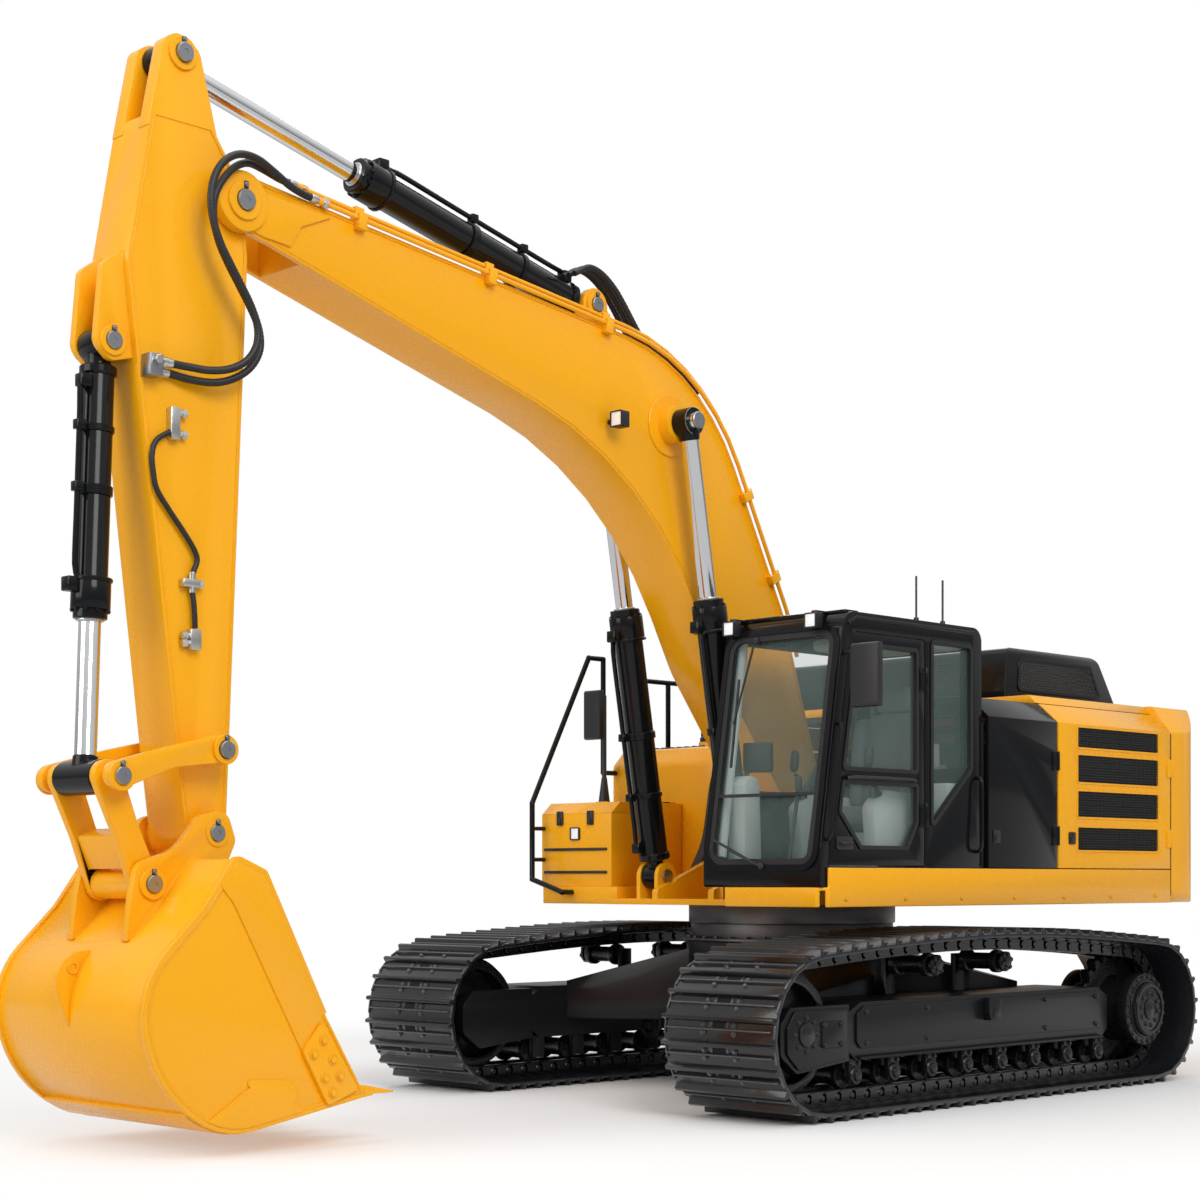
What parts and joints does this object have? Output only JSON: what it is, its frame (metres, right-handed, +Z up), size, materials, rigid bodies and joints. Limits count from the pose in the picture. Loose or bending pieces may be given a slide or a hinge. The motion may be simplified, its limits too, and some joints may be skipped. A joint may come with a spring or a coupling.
{
  "type": "crawler excavator",
  "caption": "Crawler excavator with a swinging upper body, boom, stick and bucket on hydraulic cylinders, a glazed cab with an opening door, house doors, hood and fixed tracks.",
  "frame": {"origin": "on the ground under the swing axis, midway between the tracks", "axes": "X forward along the tracks towards the arm, Y to the machine's left, Z up"},
  "size_m": [8.9584, 3.695, 5.8587],
  "materials": {
    "yellow_paint": "glossy",
    "black_paint": "glossy",
    "frame_black": "satin",
    "track_steel": "worn",
    "roller_steel": "satin",
    "ring_steel": "satin",
    "cast_yellow": "glossy",
    "engine_alloy": "cast",
    "cab_trim": "matte",
    "lamp_black": "glossy",
    "glass": "clear",
    "pin_steel": "brushed",
    "chrome": "polished",
    "rail_black": "glossy",
    "hose_rubber": "matte"
  },
  "bodies": {
    "undercarriage": {"track_left": "track_steel", "track_right": "track_steel", "track_frames": "frame_black", "car_body": "frame_black", "track_rollers": "roller_steel", "idlers": "roller_steel", "drive_sprockets": "roller_steel", "slew_ring_lower": "ring_steel", "tie_lugs": "frame_black"},
    "upper": {"slew_ring_upper": "ring_steel", "main_frame": "yellow_paint", "decks": "yellow_paint", "cab_shell": "black_paint", "cab_glass": "glass", "cab_interior": "cab_trim", "roof_lamps": "lamp_black", "house_frame": "frame_black", "engine": "engine_alloy", "fuel_tank": "yellow_paint", "toolbox": "yellow_paint", "counterweight": "cast_yellow", "lifting_eyes": "yellow_paint", "handrails": "rail_black", "mirrors": "lamp_black", "upper_pins": "pin_steel"},
    "cab_door_body": {"cab_door": "black_paint", "cab_door_glass": "glass"},
    "access_door_body": {"access_door": "black_paint"},
    "louvre_door_body": {"louvre_door": "yellow_paint", "louvre_slats": "rail_black"},
    "pump_door_body": {"pump_door": "yellow_paint"},
    "hood_body": {"hood": "yellow_paint", "air_box": "black_paint"},
    "toolbox_lid_body": {"toolbox_lid": "yellow_paint"},
    "boom_body": {"boom": "yellow_paint", "boom_pins": "pin_steel", "boom_pipes": "yellow_paint", "pipe_clamps": "yellow_paint", "boom_lamp": "lamp_black", "hose_near": "hose_rubber", "hose_far": "hose_rubber"},
    "lift_barrel_body": {"lift_barrels": "black_paint"},
    "lift_rod_body": {"lift_rods": "chrome"},
    "stick_body": {"stick": "yellow_paint", "stick_pins": "pin_steel", "hose_block": "pin_steel"},
    "crowd_barrel_body": {"crowd_barrel": "black_paint"},
    "crowd_rod_body": {"crowd_rod_piece": "chrome"},
    "curl_barrel_body": {"curl_barrel": "black_paint"},
    "curl_rod_body": {"curl_rod_piece": "chrome"},
    "idler_link_body": {"idler_links": "yellow_paint"},
    "bucket_body": {"bucket": "yellow_paint", "bucket_teeth": "yellow_paint", "bucket_pins": "pin_steel"},
    "power_link_body": {"power_link": "yellow_paint"}
  },
  "joints": [
    {"name": "swing", "type": "hinge", "parent": "undercarriage", "child": "upper", "pos_m": [0, 0, 1.12], "axis": [0, 0, 1], "continuous": true},
    {"name": "boom_lift", "type": "hinge", "parent": "upper", "child": "boom_body", "pos_m": [0.05, 0, 1.9], "axis": [0, -1, 0], "range_deg": [-60, 25]},
    {"name": "lift_barrel_swing", "type": "hinge", "parent": "upper", "child": "lift_barrel_body", "pos_m": [0.98, 0, 1.44], "axis": [0, -1, 0], "range_deg": [-60.1, 25.1]},
    {"name": "lift_rod_slide", "type": "slide", "parent": "lift_barrel_body", "child": "lift_rod_body", "axis": [0.1735, 0, 0.9848], "range_m": [-0.996, 0.416]},
    {"name": "stick_crowd", "type": "hinge", "parent": "boom_body", "child": "stick_body", "pos_m": [4.875, 0, 5.045], "axis": [0, 1, 0], "range_deg": [-92, 25], "deforming": ["hose_near", "hose_far"]},
    {"name": "crowd_barrel_swing", "type": "hinge", "parent": "boom_body", "child": "crowd_barrel_body", "pos_m": [2.08, 0, 5.02], "axis": [0, 1, 0], "range_deg": [-2.9, 0.9]},
    {"name": "crowd_rod_slide", "type": "slide", "parent": "crowd_barrel_body", "child": "crowd_rod_body", "axis": [0.9733, 0, 0.2294], "range_m": [-1.093, 0.298]},
    {"name": "bucket_curl", "type": "hinge", "parent": "stick_body", "child": "bucket_body", "pos_m": [5.075, 0, 1.662], "axis": [0, 1, 0], "range_deg": [-80, 95]},
    {"name": "idler_swing", "type": "hinge", "parent": "stick_body", "child": "idler_link_body", "pos_m": [5.065, 0, 2.1], "axis": [0, 1, 0], "range_deg": [-49.7, 59]},
    {"name": "power_link_swing", "type": "hinge", "parent": "bucket_body", "child": "power_link_body", "pos_m": [5.481, 0, 1.395], "axis": [0, 1, 0], "range_deg": [-52.4, 44.1]},
    {"name": "curl_barrel_swing", "type": "hinge", "parent": "stick_body", "child": "curl_barrel_body", "pos_m": [5.62, 0, 4.19], "axis": [0, 1, 0], "range_deg": [-3.3, 3.9]},
    {"name": "curl_rod_slide", "type": "slide", "parent": "curl_barrel_body", "child": "curl_rod_body", "axis": [0.0382, 0, -0.9993], "range_m": [-0.504, 0.598]},
    {"name": "cab_door_swing", "type": "hinge", "parent": "upper", "child": "cab_door_body", "pos_m": [0.465, 1.4833, 1.5], "axis": [0, 0, 1], "range_deg": [0, 165]},
    {"name": "access_door_swing", "type": "hinge", "parent": "upper", "child": "access_door_body", "pos_m": [-1.015, 1.508, 1.5], "axis": [0, 0, 1], "range_deg": [0, 90]},
    {"name": "louvre_door_swing", "type": "hinge", "parent": "upper", "child": "louvre_door_body", "pos_m": [-2.504, 1.508, 1.5], "axis": [0, 0, 1], "range_deg": [0, 90]},
    {"name": "pump_door_swing", "type": "hinge", "parent": "upper", "child": "pump_door_body", "pos_m": [-2.504, -1.508, 1.5], "axis": [0, 0, -1], "range_deg": [0, 90]},
    {"name": "hood_lift", "type": "hinge", "parent": "upper", "child": "hood_body", "pos_m": [-1, 0, 2.643], "axis": [0, 1, 0], "range_deg": [0, 60]},
    {"name": "toolbox_lid_lift", "type": "hinge", "parent": "upper", "child": "toolbox_lid_body", "pos_m": [0.56, -1.135, 1.973], "axis": [0, -1, 0], "range_deg": [0, 85]}
  ],
  "couplings": [
    {"joint": "lift_barrel_swing", "follows": "boom_lift", "ratio": 1},
    {"joint": "lift_rod_slide", "follows": "boom_lift", "m_per_rad": 0.95},
    {"joint": "crowd_barrel_swing", "follows": "stick_crowd", "ratio": 0.03},
    {"joint": "crowd_rod_slide", "follows": "stick_crowd", "m_per_rad": 0.68},
    {"joint": "idler_swing", "follows": "bucket_curl", "ratio": 0.62},
    {"joint": "power_link_swing", "follows": "bucket_curl", "ratio": -0.55},
    {"joint": "curl_barrel_swing", "follows": "bucket_curl", "ratio": 0.04},
    {"joint": "curl_rod_slide", "follows": "bucket_curl", "m_per_rad": 0.36}
  ]
}
